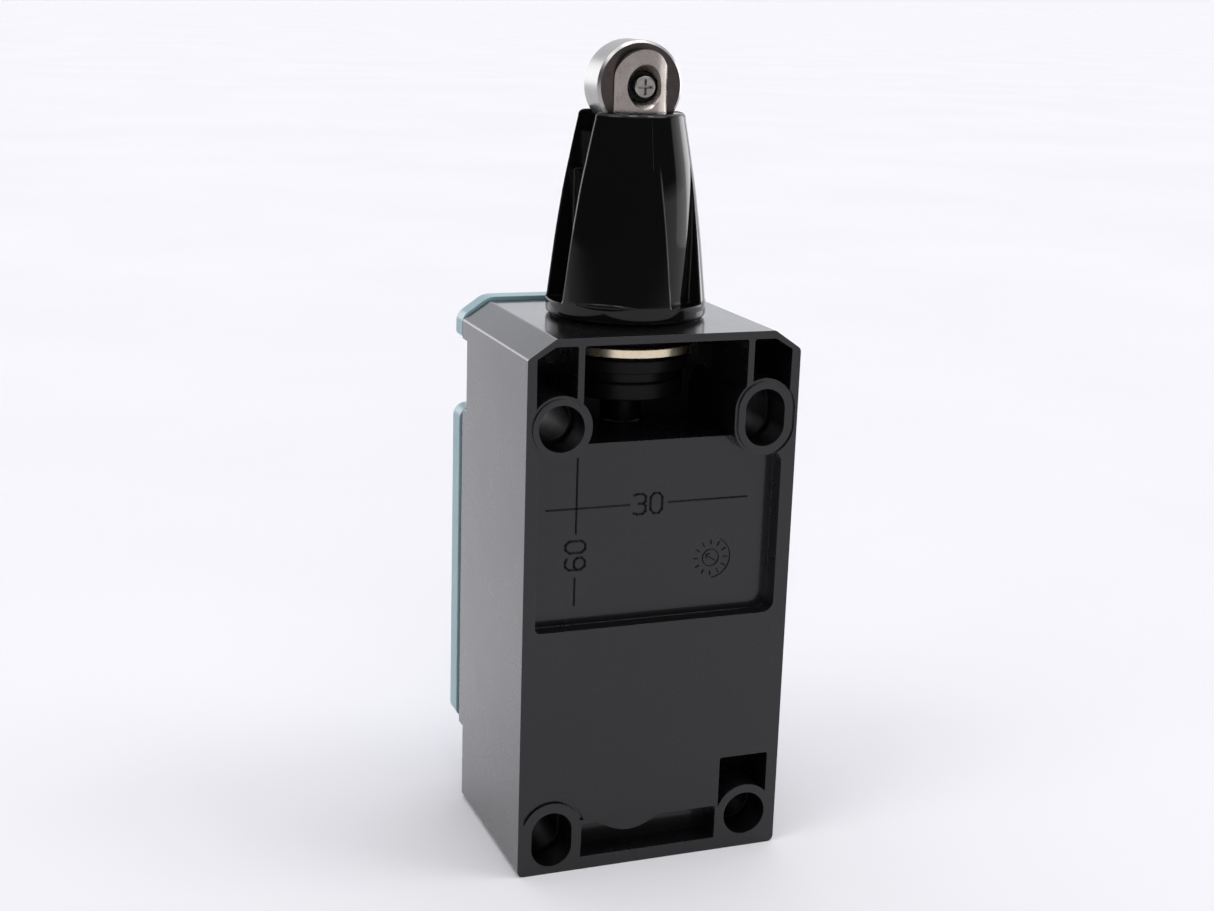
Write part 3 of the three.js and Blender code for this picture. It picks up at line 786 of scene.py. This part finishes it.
for sg in (1, -1):  # dark rings deep in the cheek bores round the pin: painted shade in the gap between pin and bore
    y0, y1 = sorted((AY + sg * 3.25, AY + sg * 3.6))
    finish_piece(lathe(rounded([(1.52, y0), (2.09, y0), (2.09, y1), (1.52, y1)], 0.06, 2), 64, (0, RZ), "y"),
                 "pin_shade_ring_" + ("back" if sg > 0 else "front"), "plunger", SHADE_MATTE_BLACK, (), 36)


def make_roller():
    r = 6.25
    p = [(1.6, AY - 2.95), (5.2, AY - 3.0), (5.85, AY - 3.0), (r, AY - 2.62), (r, AY + 2.62), (5.85, AY + 3.0), (5.2, AY + 3.0), (1.6, AY + 2.95)]
    return lathe(rounded(p, [0.1, 0, 0.08, 0.14, 0.14, 0.08, 0, 0.1], 3), 192, (0, RZ), "y", name="roller")


rol = make_roller()
ROLLER = finish_piece(rol, "roller_ground", "roller", [ROLLER_STEEL, ROLLER_SIDE_SHADE], ["roller"], 24)
# the side faces get the darker copy of the steel: painted shade
for p in ROLLER.data.polygons:
    c = p.center
    rr = math.hypot(c.x, c.z - RZ * MM)
    p.material_index = 1 if rr < 0.00585 else 0

# ------------------------------------------------------------------ cover
def cover_outline_lower(g=0.0):
    return rounded([(-20 + g, 11.8 + g), (20 - g, 11.8 + g), (20 - g, 61.4 - g), (-20 + g, 61.4 - g)], [1.4, 1.4, 1.9, 1.9], 6)


def make_cover():
    s = prism(cover_outline_lower(), FRONT, -14.2)
    top = rounded([(-20, 72.05), (20, 72.05), (20, 75.2), (16, 78.0), (-16, 78.0), (-20, 75.2)], [0.6, 0.6, 2.2, 3.4, 3.4, 2.2], 8)
    s = join(s, prism(top, -16.4, PLAT - 0.3))
    waist = prism([(-13.6, 61.75), (-14.25, 61.7), (-14.25, 60.0), (-17.3, 60.0), (-16.9, 62.4), (-16.4, 73.0), (-13.6, 73.0)], -9.9, 9.9, "x")
    s = join(s, waist)
    s = join(s, boxm(-9.9, 9.9, -14.5, -10.95, 61.75, 71.7))
    s = cut(s, prism(rect(-17.3, 17.3, 14.1, 59.0, 1.2), -15.7, -12))
    s = cut(s, boxm(-8.7, 8.7, -15.2, -9, 57.0, 71.7))
    s = join(s, prism(circle(5.0, 0, 17.2, 64), -16.5, -14.2))
    s = cut(s, prism(circle(3.8, 0, 17.2, 64), -19, -15.3))
    s = cut(s, prism(circle(2.2, 0, 17.2, 48), -19, -12))
    # shallow label field on the outer face
    s = cut(s, prism(rect(-15.5, 15.5, 25.5, 55.5, 1.2), -19, FRONT + 0.35))
    return s


cov = make_cover()
clean(cov, 3e-4, 0.4)
bevel(cov, 0.6, 5, 34)
finish_piece(cov, "cover_moulding", "cover", TEAL, ["cover"], 36)


def make_gasket():
    s = prism(rect(-19.75, 19.75, 12.05, 61.15, 1.5), -13.95, -12.85)
    return cut(s, prism(rect(-17.6, 17.6, 13.9, 59.3, 1.0), -15, -12))


gk = make_gasket()
bevel(gk, 0.3, 3, 34)
finish_piece(gk, "cover_gasket_moulded", "cover", RUBBER, ["cover_gasket"], 36)


def make_cover_screw():
    s = lathe(rounded([(0, -17.3), (3.4, -17.3), (3.4, -15.6), (1.75, -15.6), (1.75, -13.2), (1.6, -13.0), (1.6, -6.0), (1.2, -5.6), (0, -5.6)],
                      [0, 0.45, 0.12, 0.2, 0, 0, 0.1, 0.1, 0], 4), 72, (0, 17.2), "y")
    for w, l in ((0.42, 2.1), (2.1, 0.42)):
        s = cut(s, boxm(-w, w, -18, -16.35, 17.2 - l, 17.2 + l))
    return s


cs = make_cover_screw()
clean(cs, 2e-4, 0.2)
bevel(cs, 0.1, 2, 40)
finish_piece(cs, "cover_screw_turned", "cover_screw", ZINC, ["cover_screw"], 36)

# ------------------------------------------------------------------ terminal screws
for name, side, sz in (("nc_left", 1, 53.0), ("nc_right", -1, 53.0), ("no_left", 1, 39.2), ("no_right", -1, 39.2)):
    cx = side * 13.3
    s = lathe(rounded([(0, -6.4), (3.0, -6.4), (3.0, -4.3), (1.7, -4.3), (1.7, 5.4), (1.3, 5.9), (0, 5.9)],
                      [0, 0.9, 0.15, 0.1, 0.1, 0.1, 0], 5), 64, (cx, sz), "y")
    for w, l in ((0.4, 2.0), (2.0, 0.4)):
        s = cut(s, boxm(cx - w, cx + w, -7, -5.3, sz - l, sz + l))
    clean(s, 2e-4, 0.2)
    bevel(s, 0.08, 2, 40)
    finish_piece(s, "terminal_screw_turned_" + name, "housing", ZINC, ["terminal_screw_" + name], 36)

# ------------------------------------------------------------------ springs
def coil(radius, wire, z0, z1, turns, per_turn=44, sides=14):
    """A helical wire between heights z0 and z1 on the plunger's axis, with flat ends."""
    v, f = [], []
    n = turns * per_turn
    a, b = z0 + wire, z1 - wire
    pitch = (b - a) / (2 * math.pi * turns)
    k = math.hypot(radius, pitch)
    for i in range(n + 1):
        t = 2 * math.pi * turns * i / n
        out_dir = Vector((math.cos(t), math.sin(t), 0))
        side_dir = Vector((pitch * math.sin(t), -pitch * math.cos(t), radius)) / k
        c = Vector((radius * math.cos(t), AY + radius * math.sin(t), a + pitch * t))
        for j in range(sides):
            w = 2 * math.pi * j / sides
            v.append(tuple(c + out_dir * (wire * math.cos(w)) + side_dir * (wire * math.sin(w))))
    for i in range(n):
        for j in range(sides):
            l = (j + 1) % sides
            f.append([i * sides + j, (i + 1) * sides + j, (i + 1) * sides + l, i * sides + l])
    f.append(list(range(sides)))
    f.append([n * sides + j for j in reversed(range(sides))])
    me = bpy.data.meshes.new("coil")
    me.from_pydata(v, [], f)
    bm = bmesh.new()
    bm.from_mesh(me)
    bmesh.ops.recalc_face_normals(bm, faces=bm.faces)
    bm.to_mesh(me)
    bm.free()
    ob = bpy.data.objects.new("coil", me)
    COL.objects.link(ob)
    return ob


rs = finish_piece(coil(4.1, 0.45, 68.85, 81.25, 6), "return_spring_wire", "head", SPRINGS, ["return_spring"], 50, weighted=False)
ts = finish_piece(coil(1.5, 0.25, 35.8, 43.0, 4), "tappet_spring_wire", "housing", SPRINGS, ["tappet_spring"], 50, weighted=False)
finish_piece(coil(2.5, 0.25, 44.85, 50.45, 4), "contact_pressure_spring_wire", "contact_bridges", SPRINGS, ["contact_pressure_spring"], 50, weighted=False)
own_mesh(rs)
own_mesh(ts)

# ------------------------------------------------------------------ carried-over nodes get edges and materials
CARRY = {
    "cover_screw_insert": BRASS, "contact_block_base": CREAM, "contact_block_lid": GREY,
    "clamp_plate_nc_left": ZINC, "clamp_plate_nc_right": ZINC, "clamp_plate_no_left": ZINC, "clamp_plate_no_right": ZINC,
    "terminal_nc_left": BRASS, "terminal_nc_right": BRASS, "terminal_no_left": BRASS, "terminal_no_right": BRASS,
    "contact_tappet": GREY, "contact_bridge_nc": COPPER, "contact_bridge_no": COPPER,
    # plunger_stem gets the darker material: painted shade
    "plunger_stem": SHADE_MATTE_BLACK, "plunger_clip": SPRINGS, "head_lock_lever": TEAL, "lock_lever_pin": ZINC, "cover_screw_retainer": GREY,
}
for n, m in CARRY.items():
    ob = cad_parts[n]
    ob.data.materials.clear()
    ob.data.materials.append(m)
    b = ob.modifiers.new("edge", "BEVEL")
    b.width = 0.00018
    b.segments = 2
    b.limit_method = "ANGLE"
    b.angle_limit = math.radians(40)
    b.use_clamp_overlap = True

# ------------------------------------------------------------------ stage, light and camera
def stage():
    m, nt, b = new_mat("floor_paper")
    v = coords(nt)
    cloud = noise(nt, v, 6, 3)
    nt.links.new(mixc(nt, ramp(nt, cloud, 0, 1, 0.35, 0.65), (0.815, 0.806, 0.826), (0.835, 0.826, 0.846)), b.inputs["Base Color"])
    b.inputs["Roughness"].default_value = 0.6
    b.inputs["Specular IOR Level"].default_value = 0.0
    me = bpy.data.meshes.new("floor")
    R, n = 30.0, 96
    me.from_pydata([(0, 0, 0)] + [(R * math.cos(2 * math.pi * i / n), R * math.sin(2 * math.pi * i / n), 0) for i in range(n)], [],
                   [[0, 1 + i, 1 + (i + 1) % n] for i in range(n)])
    f = bpy.data.objects.new("floor", me)
    COL.objects.link(f)
    me.materials.append(m)
    f.location = (0, 0, CAD_BOX[0][2] - 0.00002)


stage()


def area(name, loc, target, size, energy, color=(1, 1, 1)):
    l = bpy.data.lights.new(name, "AREA")
    l.shape = "RECTANGLE"
    l.size, l.size_y = size
    l.energy = energy
    l.color = color
    o = bpy.data.objects.new(name, l)
    COL.objects.link(o)
    o.location = loc
    o.rotation_euler = (Vector(target) - Vector(loc)).to_track_quat("-Z", "Y").to_euler()
    return o


def sun(name, direction, strength, angle, color=(1, 1, 1)):
    l = bpy.data.lights.new(name, "SUN")
    l.energy = strength
    l.angle = math.radians(angle)
    l.color = color
    o = bpy.data.objects.new(name, l)
    COL.objects.link(o)
    o.rotation_euler = (-Vector(direction)).to_track_quat("-Z", "Y").to_euler()
    return o


sun("key_top", (0.05, 0.10, 1.0), 0.37, 60, (1.0, 0.995, 0.985))
sun("key_right", (-0.62, 0.30, 0.80), 0.50, 26, (1.0, 0.995, 0.985))
sun("key_left", (0.62, 0.22, 0.80), 0.42, 26, (1.0, 0.995, 0.985))
sun("fill_back", (0.15, 1.0, 0.13), 1.3, 60, (1.0, 0.995, 0.985)).visible_glossy = False
sun("spark", (-0.35, 0.23, 0.88), 0.42, 10, (1.0, 0.995, 0.985)).visible_diffuse = False
for lamp in (
    area("top_spot", (0.02, 0.12, 1.25), (0, 0, 0.08), (0.22, 0.22), 1.9),
    area("panel_left", (0.62, -1.15, 0.30), (0, 0, 0.09), (0.9, 0.5), 2.4),
    area("panel_right_wide", (-0.62, -0.06, 0.17), (0, 0, 0.15), (0.56, 0.32), 0.50),
    area("panel_right", (-0.58, -0.26, 0.17), (0, 0, 0.15), (0.30, 0.32), 0.62),
):
    lamp.visible_camera = False
    lamp.visible_diffuse = False

world = bpy.data.worlds.new("world")
bpy.context.scene.world = world
world.use_nodes = True
wt = world.node_tree
wt.nodes.clear()
out = wt.nodes.new("ShaderNodeOutputWorld")
bg1 = wt.nodes.new("ShaderNodeBackground")
bg2 = wt.nodes.new("ShaderNodeBackground")
mix = wt.nodes.new("ShaderNodeMixShader")
lp = wt.nodes.new("ShaderNodeLightPath")
tc = wt.nodes.new("ShaderNodeTexCoord")
sep = wt.nodes.new("ShaderNodeSeparateXYZ")
wt.links.new(tc.outputs["Generated"], sep.inputs[0])
def wmath(op, p, q):
    n = wt.nodes.new("ShaderNodeMath")
    n.operation = op
    for i, w in enumerate((p, q)):
        if isinstance(w, float):
            n.inputs[i].default_value = w
        else:
            wt.links.new(w, n.inputs[i])
    return n.outputs[0]


def wrange(value, a0, a1, b0, b1):
    n = wt.nodes.new("ShaderNodeMapRange")
    n.interpolation_type = "SMOOTHSTEP"
    for k, w in (("From Min", a0), ("From Max", a1), ("To Min", b0), ("To Max", b1)):
        n.inputs[k].default_value = w
    wt.links.new(value, n.inputs["Value"])
    return n.outputs[0]


side = wmath("ADD", wmath("MULTIPLY", sep.outputs["X"], 0.45), wmath("MULTIPLY", sep.outputs["Y"], 0.89))
low = wrange(side, -0.72, -0.05, 1.0, 0.05)
high = wrange(sep.outputs["Z"], 0.36, 0.80, 0.0, 0.98)
glow = wrange(sep.outputs["Z"], 0.0, 0.07, 0.55, 0.0)
wt.links.new(wmath("MAXIMUM", wmath("MAXIMUM", low, high), glow), bg1.inputs["Strength"])
bg1.inputs["Color"].default_value = (0.94, 0.95, 1.0, 1)
bg2.inputs["Color"].default_value = (0.933, 0.931, 0.981, 1)
bg2.inputs["Strength"].default_value = 1.0
wt.links.new(lp.outputs["Is Camera Ray"], mix.inputs[0])
wt.links.new(bg1.outputs[0], mix.inputs[1])
wt.links.new(bg2.outputs[0], mix.inputs[2])
wt.links.new(mix.outputs[0], out.inputs[0])

cam_data = bpy.data.cameras.new("camera")
cam = bpy.data.objects.new("camera", cam_data)
COL.objects.link(cam)
cam_data.sensor_width = 36.0
cam_data.lens = 1810.07 / 1214.0 * 36.0
cam_data.clip_start = 0.005
cam_data.clip_end = 100.0
right = Vector((-0.9351, 0.3530, 0.0312))
fwd = Vector((-0.34931, -0.90315, -0.24961)).normalized()
right = (right - fwd * right.dot(fwd)).normalized()
upv = right.cross(fwd).normalized()
m = Matrix((right, upv, -fwd)).transposed().to_4x4()
m.translation = Vector((0.094136, 0.239065, 0.122434))
cam.matrix_world = m
bpy.context.scene.camera = cam
bpy.context.scene.view_settings.view_transform = "Standard"
